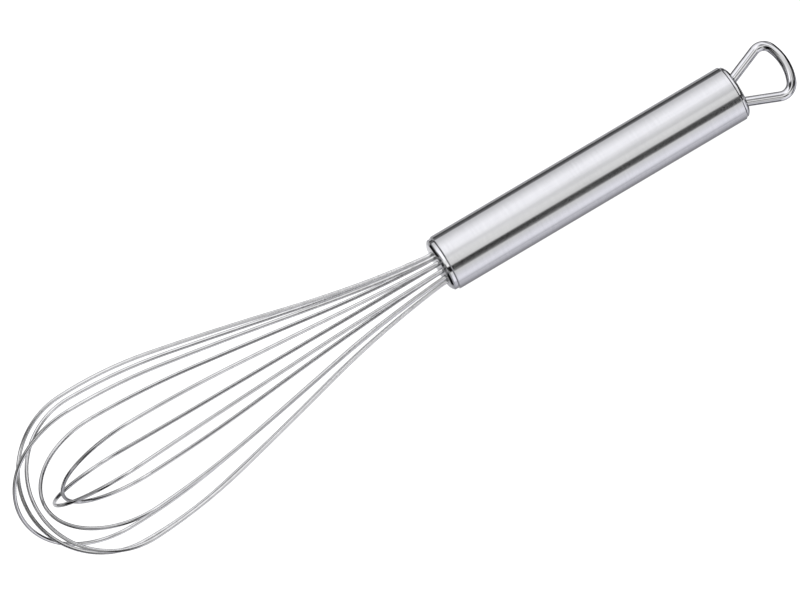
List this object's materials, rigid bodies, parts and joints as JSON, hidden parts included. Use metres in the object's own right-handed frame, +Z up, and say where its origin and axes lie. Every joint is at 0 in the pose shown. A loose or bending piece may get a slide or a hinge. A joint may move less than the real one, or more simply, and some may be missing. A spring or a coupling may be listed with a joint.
{
  "type": "balloon whisk",
  "caption": "Balloon whisk with nested steel wire loops held in a capped, brushed tube handle, and a bent-rod loop for hanging it up.",
  "frame": {"origin": "middle of the footprint on the surface the whisk lies on", "axes": "+Z up, +X along the whisk from the hanging loop to the balloon tip"},
  "size_m": [0.2996, 0.0574, 0.0517],
  "materials": {
    "brushed_tube": "fine brushed, grain round the tube, satin",
    "polished_cap": "polished",
    "polished_rod": "polished",
    "polished_wire": "bright drawn spring wire",
    "plain_steel": "as cut",
    "core_plastic": "natural nylon",
    "compound": "cast, matt"
  },
  "bodies": {
    "root": {"handle_tube": "brushed_tube", "front_cap": "polished_cap", "rear_cap": "polished_cap", "hanging_loop": "polished_rod", "loop_anchor": "plain_steel", "stop_disc": "plain_steel", "wire_core": "core_plastic", "sealing_compound": "compound", "wire_loop_1": "polished_wire", "wire_loop_2": "polished_wire", "wire_loop_3": "polished_wire", "wire_loop_4": "polished_wire", "wire_loop_5": "polished_wire", "wire_loop_6": "polished_wire"}
  },
  "joints": []
}
